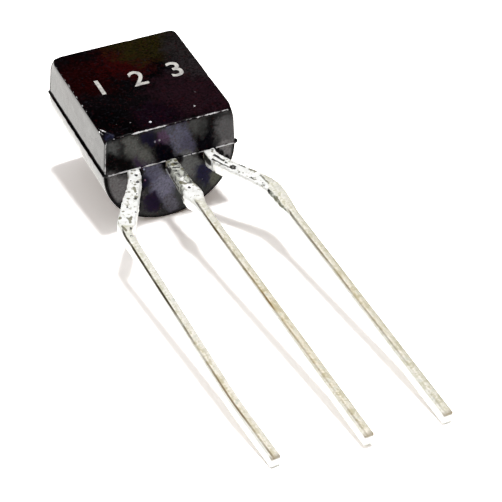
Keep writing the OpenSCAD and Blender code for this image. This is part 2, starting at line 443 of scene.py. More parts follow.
def round_back():
    back = drum("round_back", 160, BACK_R, BODY_H, (0, MID_Y, BACK_Z), pi / 2)
    rounded(back, lambda e: abs(edge_run(e).y) < 0.5, EDGE_R, ROUND_STEPS)
    edit(back)
    choose_all()
    bpy.ops.mesh.bisect(plane_co=(0, 0, 0), plane_no=(0, 0, 1), use_fill=True, clear_outer=True)
    choose(back, "faces", lambda f: abs(f.normal.y) > 0.999)
    bpy.ops.mesh.inset(thickness=RIM_BAND)
    leave_edit()
    sliced(back, 1, 0, BODY_H, 2 * GRID)
    return back


def flash():
    """The thin seam of epoxy that was squeezed out between the two mould halves."""
    size = (BODY_W + 2 * FLASH_OUT, BODY_H + 2 * FLASH_OUT, FLASH_T)
    seam = block("flash", (0, MID_Y, 0), size)
    rounded(seam, lambda e: abs(edge_run(e).z) > 0.9, EDGE_R + FLASH_OUT, ROUND_STEPS)
    rounded(seam, lambda e: abs(edge_run(e).z) < 0.1, FLASH_T / 3, 2)
    sliced(seam, 0, -HALF_W, HALF_W, GRID / 2)
    sliced(seam, 1, 0, BODY_H, GRID / 2)

    def ragged(place, normal):
        outward = Vector((place.x, place.y - MID_Y, 0))
        past_side = abs(outward.x) - HALF_W
        past_end = abs(outward.y) - MID_Y
        if max(past_side, past_end) + RAGGED_BAND <= 0:
            return Vector()
        rough_edge = 0.012 * rumple(place, 0.25, 5) + 0.008 * rumple(place, 0.1, 9)
        if place.x < 0 and past_side > past_end:
            rough_edge += FLASH_RIDGE * (1 - 0.6 * place.y / BODY_H)
        return outward.normalized() * rough_edge

    moved(seam, ragged)
    return seam


def nub():
    """A broken-off nub of flash beside the emitter lead."""
    lump = drum("nub", 20, NUB_R, NUB_T, (HALF_W + FLASH_OUT / 3, NUB_Y, 0))
    rounded(lump, lambda e: abs(edge_run(e).z) < 0.1, NUB_T / 4, 3)
    moved(lump, lambda place, normal: normal * 0.012 * rumple(place, 0.06, 2))
    return lump


# Where the flash, the flat's edge and the break at the lead end are worn and carry a painted
# highlight, along x
BRIGHT_BREAK = -1.95
BRIGHT_FLASH = [(-1.95, -1.0), (-0.85, -0.2), (1.5, 2.12)]
BRIGHT_ARRIS = [(-1.25, -0.34), (1.36, 1.46), (1.78, 2.08)]
WORN_AND_HIGHLIT_BREAK = 0.05
DARK_FAR_BAND = 0.12
DARK_FAR_SIDE = 2


def gaps(place):
    """How far a place is inside the two side walls, the lead end, the far end and the flat."""
    wall = abs(place.z) * TAPER
    side = HALF_W - wall - abs(place.x)
    return side, place.y - wall, BODY_H - wall - place.y, FLAT_DEPTH - place.z


def arris(first, second):
    """1 along the middle of a rounded edge, from the gaps to its two faces, and 0 off it."""
    if max(first, second) > EDGE_R:
        return 0
    return max(0, 1 - abs(first - second) / (0.7 * EDGE_R))


def within(x, spans):
    return any(first < x < last for first, last in spans)


def worn_and_highlit_edge(place):
    """How pale the body is painted at a place, for wear and a painted highlight: 1 is bright,
    0.5 is flecked, and 0 is black.
    """
    x_gap, near_gap, far_gap, top_gap = gaps(place)
    if abs(place.z) < FLASH_T and near_gap < -FLASH_OUT / 2:
        if place.z < -FLASH_T / 4 or abs(place.x) > HALF_W - EDGE_R:
            return 0
        return 1 if within(place.x, BRIGHT_FLASH) else 0.5
    if place.z < 0:
        return 0
    rim = near_line(place, BREAK_ALONG, BREAK_ACROSS, WORN_AND_HIGHLIT_BREAK)
    if rim:
        return rim if place.x < BRIGHT_BREAK else 0.35 * rim
    front = arris(top_gap, near_gap) * (1 if within(place.x, BRIGHT_ARRIS) else 0.6)
    corner = arris(x_gap, near_gap) * (0.8 if place.x < 0 else 0.4)
    return max(front, corner, 0.45 * arris(top_gap, x_gap), 0.3 * arris(top_gap, far_gap))


def polished_wall(place):
    """True on the smooth side walls of the mould, and not on the flat and on the two ends."""
    side, _, _, top_gap = gaps(place)
    if min(place.y, BODY_H - place.y) < EDGE_R / 2 or top_gap < EDGE_R / 2:
        return False
    return place.z < -FLASH_T or side < EDGE_R / 2


def lead_end(place):
    """True on the end that the leads come out of."""
    _, near_gap, _, top_gap = gaps(place)
    return near_gap < EDGE_R and top_gap > 0.05


def dark_rim(place):
    """True where the body is painted black: on the rims of the round back's two ends as painted
    shade, and on the far corners and the nub.
    """
    _, _, far_gap, top_gap = gaps(place)
    if place.z > FLASH_T and top_gap > EDGE_R / 2:
        return far_gap < DARK_FAR_BAND and abs(place.x) > DARK_FAR_SIDE
    if place.x > HALF_W + FLASH_OUT and place.y < 2 * NUB_Y:
        return True
    from_axis = hypot(place.x, place.z - BACK_Z)
    at_end = min(place.y, BODY_H - place.y) < EDGE_R
    return place.z < -FLASH_T and at_end and from_axis > BACK_R - 1.2 * EDGE_R


def moulded_body():
    half = flat_half()
    back = round_back()
    for shell in (half, back):
        sealed(shell)
        moved(shell, lambda place, normal: normal * WAVE * rumple(place, WAVE_GRAIN, 1))
    moved(half, lambda place, normal: chipped(place))
    body = joined("moulded_body", [half, back, flash(), nub()])
    sealed(body)
    rules = {"edge": worn_and_highlit_edge, "polish": polished_wall, "darkening": dark_rim, "lead_end": lead_end}
    for name, rule in rules.items():
        stored(body, name, [rule(v.co) for v in body.data.vertices])
    smooth(body)
    laid_down(body)
    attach(body, "root")
    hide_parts("epoxy_body")
    return body


# ---- pin numbers printed on the flat ----

PRINT_H = 0.75
PRINT_T = 0.004
PRINT_Y = 2.55
PRINT_FATTER = 0.012
FIGURE_SHARE = 0.7


def pin_number(text, x):
    bpy.ops.object.text_add(location=(0, 0, 0))
    figure = bpy.context.object
    figure.data.body = text
    figure.data.size = PRINT_H / FIGURE_SHARE
    figure.data.align_x = "CENTER"
    figure.data.align_y = "CENTER"
    figure.data.extrude = PRINT_T
    figure.data.offset = PRINT_FATTER
    only(figure)
    bpy.ops.object.convert(target="MESH")
    figure.matrix_world = Matrix.Translation((x, PRINT_Y, FLAT_DEPTH))
    return figure


def pin_numbers():
    figures = [pin_number(str(k + 1), (k - 1) * PITCH) for k in range(3)]
    numbers = joined("pin_numbers", figures)
    laid_down(numbers)
    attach(numbers, "root")
    return numbers


# ---- leads ----

BURR = 0.03
SHARP = 0.8
ROOT_SPACING = 0.07
SHANK_SPACING = 0.25
LUMP = 0.022
LUMP_GRAIN = 0.15
PIT_DEPTH = 0.03
ROOT_CUTS = 3


def swept(poses, width, thick, cuts=0):
    """Draws a flat section, width by thick, along the poses."""
    x, y, heading = poses[0]
    bpy.ops.mesh.primitive_plane_add(size=1, location=(x, y, 0), rotation=(pi / 2, 0, heading))
    bpy.context.object.scale = (width, thick, 1)
    rod = named("rod")
    edit(rod)
    choose_all()
    if cuts:
        bpy.ops.mesh.subdivide(number_cuts=cuts)
    for here, there in zip(poses, poses[1:]):
        step = (there[0] - here[0], there[1] - here[1], 0)
        bpy.ops.mesh.extrude_region_move(TRANSFORM_OT_translate={"value": step})
        angle = there[2] - here[2]
        if abs(angle) > 1e-9:
            pivot = (there[0], there[1], 0)
            bpy.ops.transform.rotate(value=-angle, orient_axis="Z", center_override=pivot)
    leave_edit()
    sealed(rod)
    return rod


def on_route(place, poses):
    """Where a place lies on a route: length from its start, offset to the side, and heading."""
    best = None
    length = 0
    for here, there in zip(poses, poses[1:]):
        start = Vector(here[:2])
        run = Vector(there[:2]) - start
        share = min(1, max(0, (place.xy - start).dot(run) / run.length_squared))
        off = place.xy - (start + run * share)
        if best is None or off.length < best[0]:
            heading = here[2] + (there[2] - here[2]) * share
            side = off.x * cos(heading) + off.y * sin(heading)
            best = (off.length, length + share * run.length, side, heading)
        length += run.length
    return best[1:]


def graded(stops, length):
    """Value at a length between (length, value) stops, joined by straight lines."""
    for (start, low), (end, high) in zip(stops, stops[1:]):
        if length <= end:
            return low + (high - low) * max(0, length - start) / (end - start)
    return stops[-1][1]


def spots(marks):
    """The (place, radius) of every spot in a list of spots and streaks."""
    found = []
    for mark in marks:
        *ends, radius, drop = mark if len(mark) in (4, 6) else (*mark, 0)
        x, y = ends[:2]
        to_x, to_y = ends[-2:]
        steps = ceil(dist((x, y), (to_x, to_y)) / (0.6 * radius))
        for k in range(steps + 1):
            share = k / max(1, steps)
            at = (x + (to_x - x) * share, y + (to_y - y) * share, LEAD_T / 2 + TIN_T - drop)
            found.append((Vector(at), radius))
    return found


def most_marked(place, marks):
    return max((near(place, at, radius) for at, radius in marks), default=0)


def marked(piece, poses, top, tin, darkening, straw, far_edge_shade, skew, marks):
    """Stores what the lead finish needs, and returns each vertex's length along the lead.

    along, across and height are the place on the lead, in millimetres. tin, darkening and straw
    are
    stops of (length, value): the share of tin, whose border runs askew by skew, how dark the
    line along the burred edge is, and how yellow the top is. far_edge_shade is how much painted
    shade darkens the top along the edge across from the line.
    """
    places = [v.co for v in piece.data.vertices]
    lengths, sides, _ = zip(*[on_route(place, poses) for place in places])
    stored(piece, "along", lengths)
    stored(piece, "across", sides)
    stored(piece, "height", [place.z - top for place in places])
    stored(piece, "tin", [graded(tin, at + skew * side) for at, side in zip(lengths, sides)])
    stored(piece, "darkening", [graded(darkening, at) for at in lengths])
    stored(piece, "straw", [graded(straw, at) for at in lengths])
    stored(piece, "far_edge_shade", [far_edge_shade] * len(places))
    for kind in ("pit", "stain", "side_shade", "dross"):
        of_kind = spots(marks.get(kind, ()))
        stored(piece, kind, [most_marked(place, of_kind) ** 0.5 for place in places])
    return lengths


def tinned_root(start, steps, tail, widths, tin, line, straw, seed, marks, skew=0):
    """The wide root in its coat of dipped tin, which froze in lumps and thins out on the lead.

    The tail is the coat's run on the shank. The dark line of the shank starts at the length
    line, and straw is how yellow the shank is at the end of the tail.
    """
    root_poses = route(start, steps, ROOT_SPACING)
    poses = root_poses[:-1] + route(root_poses[-1], tail, ROOT_SPACING)
    full = sum(step_length(step) for step in steps)
    end = widths[-1][0]
    thick = LEAD_T + 2 * TIN_T
    thicks = [(0, thick), (full, thick), (full + 0.4 * (end - full), LEAD_T + TIN_T)]
    thicks += [(full + 0.75 * (end - full), LEAD_T + TIN_T / 3), (end, LEAD_T - TIN_T)]
    root = swept(poses, ROOT_W, thick, ROOT_CUTS)
    with_modifier(root, "SUBSURF", levels=2, render_levels=2)

    def fitted(place, normal):
        length, side, heading = on_route(place, poses)
        wider = side * (graded(widths, length) / ROOT_W - 1)
        thicker = place.z * (graded(thicks, length) / thick - 1)
        return Vector((wider * cos(heading), wider * sin(heading), thicker))

    def lumpy(place, normal):
        coarse = rumple(place, LUMP_GRAIN, seed)
        fine = 0.4 * rumple(place, LUMP_GRAIN / 2.5, seed + 4)
        share = graded([(0, 1), (full, 1), (end, 0.12)], on_route(place, poses)[0])
        return normal * LUMP * (coarse + fine) * share

    pits = spots(marks["pit"])
    moved(root, fitted)
    moved(root, lumpy)
    moved(root, lambda place, normal: -normal * PIT_DEPTH * most_marked(place, pits))
    darkening = [(0, 0), (line, 0), (line + 0.4, 1)]
    yellow = [(0, 0), (full, 0), (end, straw)]
    lengths = marked(root, poses, thick / 2, tin, darkening, yellow, 0.5, skew, marks)
    stored(root, "to_tip", [1] * len(lengths))
    moved(root, lambda place, normal: Vector((0, 0, -LEAD_T / 2)))
    return root


def shank(end, dip, steps, darkening, straw, far_edge_shade):
    """The thin straight lead from the end of a root to its cut tip."""
    poses = route((0, 0, 0), steps, SHANK_SPACING)
    rod = swept(poses, SHANK_W, LEAD_T)
    rounded(rod, lambda e: len(e.link_faces) == 2 and e.calc_face_angle() > SHARP, BURR, 3)
    lengths = marked(rod, poses, LEAD_T / 2, [(0, 0), (1, 0)], darkening, straw, far_edge_shade, 0, {})
    tip = max(lengths)
    stored(rod, "to_tip", [tip - length for length in lengths])
    x, y, heading = end
    turn = Matrix.Rotation(dip, 4, "X") @ Matrix.Rotation(heading, 4, "Z")
    laid_down(rod, Matrix.Translation((x, y, -LEAD_T / 2)) @ turn)
    return rod


def frame_bar(x0, x1, y0, y1):
    """A flat bar of the lead frame inside the body, with its edges broken."""
    centre = ((x0 + x1) / 2, (y0 + y1) / 2, -LEAD_T / 2)
    bar = block("frame_bar", centre, (x1 - x0, y1 - y0, LEAD_T))
    rounded(bar, lambda e: True, BURR / 2, 2)
    return bar


def inner_lead(x, to):
    return frame_bar(x - FRAME_W / 2, x + FRAME_W / 2, -SHOULDER, to)


def bond_post(x, y, height):
    """The bar inside the body and the wide post at its end."""
    post = frame_bar(x - POST_W / 2, x + POST_W / 2, y, y + height)
    return [inner_lead(x, y + height / 2), post]


def die_flag():
    """The flag that the chip lies on, with a locking hole."""
    flag = frame_bar(FLAG_X, FLAG_X + FLAG_W, FLAG_Y, FLAG_Y + FLAG_H)
    lock = (FLAG_X + FLAG_W / 2, LOCK_Y, -LEAD_T / 2)
    drill = drum("drill", 48, LOCK_R, 2 * LEAD_T, lock)
    with_modifier(flag, "BOOLEAN", object=drill, operation="DIFFERENCE", solver="EXACT")
    bpy.data.objects.remove(drill)
    return flag


def finished_lead(node, name, pieces):
    lead = joined(name, pieces)
    smooth(lead, 40)
    laid_down(lead)
    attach(lead, "root")
    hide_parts(node)
    return lead


# Marks on top of the tinned roots, by kind. A spot is (x, y, radius), and a streak of them is
# (x, y, to x, to y, radius). Either may end with its drop below the top. The side_shade marks
# are painted shade, low on the sides of the roots near the body.
COLLECTOR_MARKS = {
    "pit": [
        (-1.29, -0.32, 0.075), (-1.38, -0.64, 0.07), (-1.73, -1.32, 0.06), (-2.13, -1.61, 0.05),
        (-1.34, -0.06, -1.24, -0.09, 0.04), (-2.38, -2.5, -2.43, -2.72, 0.055),
        (-2.5, -2.83, 0.06), (-1.62, -1.14, 0.04), (-2.22, -1.42, 0.035), (-1.98, -1.9, 0.04),
        (-1.55, -0.5, 0.04),
    ],
    "stain": [
        (-1.38, -0.19, 0.06), (-1.81, -0.98, 0.07), (-1.9, -0.96, 0.05), (-1.82, -0.82, 0.05),
        (-2.19, -1.27, 0.05), (-2.11, -1.56, 0.06), (-2.53, -1.97, 0.09),
        (-1.58, -0.84, -1.62, -1.05, 0.05), (-1.7, -1.28, -1.75, -1.34, 0.07),
        (-2.32, -2.06, -2.29, -2.17, 0.065), (-2.19, -2.07, -2.29, -2.17, 0.065),
        (-2.29, -2.17, -2.32, -2.28, 0.05), (-2.6, -2.35, -2.56, -2.55, 0.05),
        (-1.5, -0.72, 0.06), (-1.95, -1.25, 0.06), (-2.32, -1.75, 0.06),
    ],
    "side_shade": [(-1.1, -0.1, -1.14, -0.55, 0.1, 0.25), (-1.3, -1.05, -2.1, -2.45, 0.1, 0.3)],
}
BASE_MARKS = {
    "pit": [
        (0.03, -0.26, 0.07), (-0.07, -0.57, 0.05), (-0.04, -1.47, 0.065),
        (-0.11, -0.41, 0.06, -0.48, 0.045),
    ],
    "stain": [
        (-0.12, -0.12, 0.07), (0.1, -0.13, 0.08), (-0.05, -0.3, 0.1), (-0.29, -0.58, 0.1, 0.05),
        (0.22, -0.71, 0.1), (0.12, -0.6, 0.09), (0.17, -0.97, 0.1), (0.18, -1.33, 0.1),
        (0.23, -1.46, 0.06), (-0.26, -1.1, -0.09, -1.27, 0.08),
    ],
    "side_shade": [(-0.22, -0.02, -0.24, -0.3, 0.13, 0.22), (-0.27, -0.7, -0.35, -1.6, 0.1, 0.3)],
    "dross": [
        (-0.08, -0.1, -0.1, -0.8, 0.2), (0.1, -0.1, 0.1, -1.25, 0.18),
        (-0.2, -0.4, -0.28, -1.45, 0.2, 0.12), (-0.2, -0.5, -0.28, -1.4, 0.15, 0.32),
        (0.24, -1.5, 0.12),
    ],
}
RING_X = 1.59
RING_Y = -1.1
RING_R = 0.068
EMITTER_MARKS = {
    "pit": [
        (1.35, -0.11, 0.05), (1.48, -0.82, 0.05),
        *[
            (RING_X + RING_R * cos(turn), RING_Y + RING_R * sin(turn), 0.062)
            for turn in range(6)
        ],
        (1.31, -0.36, 1.46, -0.69, 0.06), (1.17, -0.5, 1.46, -1.04, 0.04, 0.02),
        (1.83, -1.08, 1.93, -1.22, 0.05), (1.86, -1.74, 1.98, -1.86, 0.04),
        (1.95, -1.7, 2.0, -1.8, 0.035), (2.1, -2.14, 2.09, -2.26, 0.035),
        (2.01, -2.38, 1.96, -2.46, 0.035), (2.09, -2.52, 0.09), (2.06, -2.56, 0.1, 0.07),
    ],
    "stain": [
        (1.3, -0.2, 0.06), (1.65, -1.41, 0.05), (1.74, -1.5, 0.05),
        (1.88, -1.78, 1.96, -1.9, 0.05), (2.03, -1.4, 2.13, -1.56, 0.08),
        (2.2, -1.8, 2.25, -2.24, 0.05), (2.06, -2.62, 2.17, -3.65, 0.085, 0.04),
        (2.2, -2.9, 2.18, -3.2, 0.04),
    ],
    "side_shade": [(1.1, -0.02, 1.09, -0.42, 0.15, 0.17), (1.12, -0.05, 1.26, -0.62, 0.12, 0.38)],
    "dross": [(2.08, -2.62, 2.13, -3.6, 0.14, 0.03)],
}


def collector():
    root = tinned_root(
        (-PITCH, 0, 0),
        COLLECTOR_ROOT,
        tail=[(0.05,), (UNBEND_R, UNBEND), (0.45,)],
        widths=[(0, 0.36), (0.5, 0.4), (1.1, 0.42), (1.5, 0.5), (2.55, 0.53), (2.72, 0.4)]
        + [(2.85, 0.31), (3.2, 0.29), (3.6, 0.26)],
        tin=[(0, 1), (2.6, 1), (2.7, 0)],
        line=2.6,
        straw=0.15,
        seed=11,
        marks=COLLECTOR_MARKS,
    )
    rod = shank(
        COLLECTOR_END,
        COLLECTOR_DIP,
        [(UNBEND_R, UNBEND), (COLLECTOR_RUN,), (TAIL_R, TAIL_BEND), (TAIL,)],
        darkening=[(0, 1), (2.5, 1), (4, 0.85), (5.3, 0.5), (7.1, 0.65), (9, 0.75), (10, 0.6)],
        straw=[(0, 0.1), (3.5, 0.15), (5.3, 0.45), (7.1, 0.75), (9, 0.6)],
        far_edge_shade=0.1,
    )
    inner = inner_lead(-PITCH, FLAG_Y + FLAG_H / 2)
    return finished_lead("collector_lead", "collector_with_flag", [root, rod, inner, die_flag()])


def base():
    bend = (BEND_R, BASE_BOW + BASE_LEAN)
    root = tinned_root(
        (0, 0, 0),
        BASE_ROOT_STEPS,
        tail=[bend, (1.75,)],
        widths=[(0, 0.34), (0.5, 0.38), (1.0, 0.4), (1.35, 0.44), (1.55, 0.56), (1.8, 0.57)]
        + [(2.1, 0.42), (2.3, 0.33), (3.45, 0.31), (3.6, 0.27)],
        tin=[(0, 1), (1.95, 1), (2.1, 0.1), (3.6, 0)],
        line=1.9,
        straw=0.5,
        seed=23,
        marks=BASE_MARKS,
    )
    rod = shank(
        BASE_END,
        -BASE_LIFT,
        [bend, (BASE_RUN,)],
        darkening=[(0, 1), (2, 0.8), (3.1, 0.5), (4.4, 0.8), (5.4, 0.75), (6.8, 0.4)]
        + [(8.7, 0.3), (11, 0.4)],
        straw=[(0, 0.2), (3, 0.5), (5, 1), (7, 1), (9, 0.75), (11, 0.6)],
        far_edge_shade=0.6,
    )
    post = bond_post(0, BASE_POST_Y, BASE_POST_H)
    return finished_lead("base_lead", "base_with_post", [root, rod, *post])


def emitter():
    bend = (UNBEND_R, EMITTER_LEAN - UNBEND)
    root = tinned_root(
        (PITCH, 0, 0),
        EMITTER_ROOT,
        tail=[bend, (1.45,)],
        widths=[(0, 0.36), (0.6, 0.42), (1.2, 0.45), (2.4, 0.5), (3.0, 0.48), (3.5, 0.4)]
        + [(3.85, 0.31), (4.35, 0.26)],
        tin=[(0, 1), (2.3, 1), (2.45, 0)],
        line=3.7,
        straw=0.5,
        seed=37,
        marks=EMITTER_MARKS,
        skew=1.7,
    )
    rod = shank(
        EMITTER_END,
        0,
        [bend, (EMITTER_RUN,)],
        darkening=[(0, 0.8), (1.9, 0.6), (3.8, 0.6), (5.7, 0.55), (7.6, 0.35), (9.5, 0.12)]
        + [(10.8, 0.3)],
        straw=[(0, 0.2), (2, 0.25), (3.8, 0.6), (5.7, 0.8), (7.6, 0.5), (9.5, 0.3)],
        far_edge_shade=0.9,
    )
    post = bond_post(PITCH, EMITTER_POST_Y, EMITTER_POST_H)
    return finished_lead("emitter_lead", "emitter_with_post", [root, rod, *post])


# ---- materials ----

NUMBER = "NodeSocketFloat"
PLACE = "NodeSocketVector"
COLOUR = "NodeSocketColor"


class Recipe:
    """A small hand for laying out the nodes of a material or of a node group."""

    def __init__(self, owner):
        self.owner = owner
        self.tree = getattr(owner, "node_tree", owner)

    def add(self, kind, inputs=None, **settings):
        """A node. Its inputs are values, (red, green, blue) colours or other nodes' sockets."""
        node = self.tree.nodes.new(kind)
        for name, value in settings.items():
            setattr(node, name, value)
        for name, value in (inputs or {}).items():
            if isinstance(value, bpy.types.NodeSocket):
                self.tree.links.new(value, node.inputs[name])
            elif node.inputs[name].type == "RGBA":
                node.inputs[name].default_value = (*value, 1)
            else:
                node.inputs[name].default_value = value
        return node

    def math(self, operation, a, b=0.0):
        return self.add("ShaderNodeMath", {0: a, 1: b}, operation=operation).outputs[0]

    def plus(self, a, b):
        return self.math("ADD", a, b)

    def minus(self, a, b):
        return self.math("SUBTRACT", a, b)

    def times(self, a, b):
        return self.math("MULTIPLY", a, b)

    def larger(self, a, b):
        return self.math("MAXIMUM", a, b)

    def off(self, mask):
        """1 where the mask is 0, and 0 where it is 1."""
        return self.minus(1.0, mask)

    def swing(self, cloud, reach):
        """A cloud from 0 to 1 made into an unevenness around 0."""
        return self.times(self.minus(cloud, 0.5), reach)

    def blend(self, share, a, b, blend_type="MIX"):
        inputs = {0: share, 6: a, 7: b}
        node = self.add("ShaderNodeMix", inputs, data_type="RGBA", blend_type=blend_type)
        return node.outputs[2]

    def lerp(self, share, a, b):
        return self.add("ShaderNodeMix", {0: share, 2: a, 3: b}, data_type="FLOAT").outputs[0]

    def between(self, value, low, high, to_low=0.0, to_high=1.0):
        inputs = {0: value, 1: low, 2: high, 3: to_low, 4: to_high}
        return self.add("ShaderNodeMapRange", inputs).outputs[0]

    def place(self):
        return self.add("ShaderNodeTexCoord").outputs["Object"]

    def combined(self, x, y, z):
        return self.add("ShaderNodeCombineXYZ", {0: x, 1: y, 2: z}).outputs[0]

    def over(self, operation, output, a, b):
        """The distance or the dot product of two vectors."""
        node = self.add("ShaderNodeVectorMath", {0: a, 1: b}, operation=operation)
        return node.outputs[output]

    def attribute(self, name):
        return self.add("ShaderNodeAttribute", attribute_name=name).outputs["Fac"]

    def noise(self, vector, scale, detail=3.0, rough=0.5):
        inputs = {"Vector": vector, "Scale": scale, "Detail": detail, "Roughness": rough}
        return self.add("ShaderNodeTexNoise", inputs).outputs["Fac"]

    def group(self, tree, inputs):
        return self.add("ShaderNodeGroup", inputs, node_tree=tree).outputs

    def patches(self, vector, scale, cover, softness):
        inputs = {"Vector": vector, "Scale": scale, "Cover": cover, "Softness": softness}
        return self.group(PATCHES, inputs)["Mask"]

    def bump(self, height, strength, distance):
        inputs = {"Height": height, "Strength": strength, "Distance": distance}
        return self.add("ShaderNodeBump", inputs).outputs[0]

    def material(self, shader):
        """The owner, once a shader node ends its recipe."""
        self.add("ShaderNodeOutputMaterial", {"Surface": shader.outputs[0]})
        return self.owner

    def principled(self, inputs):
        return self.material(self.add("ShaderNodeBsdfPrincipled", inputs))


def emptied(owner):
    """A recipe for the emptied nodes of a material or of the world."""
    owner.use_nodes = True
    owner.node_tree.nodes.clear()
    return Recipe(owner)


def new_group(name, inputs, outputs):
    """The recipe of a node group with named sockets, and what it is given."""
    group = bpy.data.node_groups.new(name, "ShaderNodeTree")
    for way, sockets in (("INPUT", inputs), ("OUTPUT", outputs)):
        for title, kind in sockets:
            group.interface.new_socket(title, in_out=way, socket_type=kind)
    r = Recipe(group)
    return r, r.add("NodeGroupInput").outputs


def mottle_group():
    """Cloudy patches: a mask from 0 to 1 with soft borders."""
    inputs = [("Vector", PLACE), ("Scale", NUMBER), ("Cover", NUMBER), ("Softness", NUMBER)]
    r, given = new_group("cloudy patches", inputs, [("Mask", NUMBER)])
    cloud = r.noise(given["Vector"], given["Scale"], 4, 0.55)
    middle = r.off(given["Cover"])
    low = r.minus(middle, given["Softness"])
    high = r.plus(middle, given["Softness"])
    r.add("NodeGroupOutput", {"Mask": r.between(cloud, low, high)})
    return r.owner


PATCHES = mottle_group()


# Painted patches on the black epoxy, each with its own shine: on the flat, faint tints that are
# partly painted reflection, and three small painted glints; on the lead end, painted reflections
# in grey and violet, black patches of painted shade, and four small painted glints.
# On the flat: (x, y, radius, colour, shine), and on the lead end: (x, z, radius, colour, shine)
# On the lead end they are drawn out downwards and lean a little.
PATCH_LEAN = 0.22
PATCH_SQUEEZE = 0.72
FLAT_TINTS_AND_GLINTS = [
    (-1.5, 3.2, 1.1, (0.008, 0.0003, 0.0003), 0.1),
    (0.0, 3.6, 1.0, (0.019, 0.0008, 0.0008), 0.1),
    (0.8, 4.3, 1.2, (0.011, 0.0085, 0.001), 0.25),
    (1.2, 1.2, 1.4, (0.011, 0.0035, 0.006), 0.3),
    (-0.2, 0.6, 0.8, (0.005, 0.0012, 0.004), 0.2),
    (1.9, 2.6, 0.8, (0.014, 0.011, 0.012), 0.4),
    (2.0, 3.6, 0.8, (0.012, 0.01, 0.01), 0.4),
    (-1.09, 0.61, 0.03, (0.25, 0.24, 0.25), 0.5),
    (-0.52, 0.41, 0.045, (0.7, 0.7, 0.75), 0.5),
    (1.05, 0.62, 0.03, (0.5, 0.5, 0.5), 0.5),
    (-1.95, 0.24, 0.18, (0.012, 0.013, 0.03), 0.4),
]

# Painted shade: small black spots on the lead end, under the flat and beside the leads: (x, z,
# radius)
PAINTED_SHADE = (0.0005, 0.0003, 0.001)
END_PAINTED_SHADES = [
    (-0.14, -0.26, 0.16), (1.06, -0.16, 0.18), (1.54, -0.1, 0.12), (1.72, -0.28, 0.1),
    (1.92, -0.5, 0.1), (-0.99, -0.2, 0.1), (-0.97, -0.5, 0.12), (-1.0, -0.85, 0.12),
    (-1.04, -1.2, 0.12), (-1.09, -1.5, 0.12), (0.29, -0.1, 0.14),
]
END_PAINTED_REFLECTIONS = [
    (-1.3, 0.78, 0.42, (0.042, 0.043, 0.037), 0.58),
    (-1.7, 0.9, 0.22, (0.008, 0.009, 0.009), 0.1),
    (-1.95, 0.95, 0.28, (0.034, 0.036, 0.035), 0.45),
    (-1.98, 0.45, 0.3, (0.0005, 0.0005, 0.0005), 0.0),
    (-1.55, 0.22, 0.36, (0.0005, 0.0003, 0.0005), 0.0),
    (-1.0, 0.2, 0.26, (0.022, 0.005, 0.03), 0.15),
    (-0.72, 1.0, 0.3, (0.006, 0.004, 0.02), 0.1),
    (-0.88, 0.45, 0.28, (0.042, 0.042, 0.034), 0.55),
    (0.28, 0.68, 0.52, (0.053, 0.05, 0.105), 0.58),
    (0.6, 0.35, 0.3, (0.04, 0.034, 0.08), 0.4),
    (-0.24, 0.84, 0.24, (0.06, 0.02, 0.066), 0.3),
    (-0.22, 0.24, 0.4, (0.0005, 0.0003, 0.003), 0.0),
    (1.2, 0.35, 0.42, (0.0005, 0.0003, 0.002), 0.0),
    (0.9, 0.98, 0.34, (0.026, 0.026, 0.025), 0.4),
    (1.92, 0.6, 0.42, (0.036, 0.032, 0.036), 0.68),
    (-1.85, -0.6, 0.5, (0.075, 0.066, 0.07), 0.75),
    (-0.27, -0.95, 0.52, (0.1, 0.092, 0.165), 0.78),
    (-0.62, -0.35, 0.3, (0.058, 0.052, 0.11), 0.5),
    (-0.9, -0.6, 0.24, (0.006, 0.004, 0.022), 0.05),
    (-0.62, -1.5, 0.32, (0.01, 0.003, 0.022), 0.05),
    (0.05, -1.75, 0.3, (0.07, 0.062, 0.095), 0.55),
    (0.66, -0.5, 0.46, (0.056, 0.058, 0.056), 0.75),
    (1.15, -0.95, 0.36, (0.008, 0.006, 0.032), 0.1),
    (0.6, -1.5, 0.5, (0.02, 0.024, 0.02), 0.3),
    (1.62, -1.3, 0.3, (0.05, 0.05, 0.03), 0.5),
    (1.98, -0.28, 0.38, (0.09, 0.076, 0.08), 0.95),
    *[(*shade, PAINTED_SHADE, 0) for shade in END_PAINTED_SHADES],
    (-0.52, 0.82, 0.05, (0.5, 0.45, 0.55), 0.5),
    (-0.37, 0.84, 0.055, (0.6, 0.55, 0.6), 0.5),
    (-0.9, -0.12, 0.035, (0.4, 0.42, 0.6), 0.5),
    (-0.86, -0.55, 0.035, (0.2, 0.08, 0.16), 0.5),
]


def drawn_out(place):
    """Where a place of the body is in the space in which the painted patches are round."""
    return Vector((place.x + PATCH_LEAN * place.z, place.y, PATCH_SQUEEZE * place.z))


def patch_group():
    """A soft round patch, broken up by a cloud, laid over a colour and a shine."""
    inputs = [("Vector", PLACE), ("Cloud", NUMBER), ("Colour", COLOUR), ("Shine", NUMBER)]
    inputs += [("Centre", PLACE), ("Radius", NUMBER), ("Cover", NUMBER)]
    inputs += [("Patch Colour", COLOUR), ("Patch Shine", NUMBER)]
    outputs = [("Colour", COLOUR), ("Shine", NUMBER)]
    r, given = new_group("painted reflection patch", inputs, outputs)
    away = r.over("DISTANCE", "Value", given["Vector"], given["Centre"])
    share = r.math("DIVIDE", away, given["Radius"])
    ragged = r.plus(share, r.between(given["Cloud"], 0.3, 0.7, -0.4, 0.4))
    mask = r.times(r.between(ragged, 1.12, 0.62), given["Cover"])
    colour = r.blend(mask, given["Colour"], given["Patch Colour"])
    shine = r.lerp(mask, given["Shine"], given["Patch Shine"])
    r.add("NodeGroupOutput", {"Colour": colour, "Shine": shine})
    return r.owner


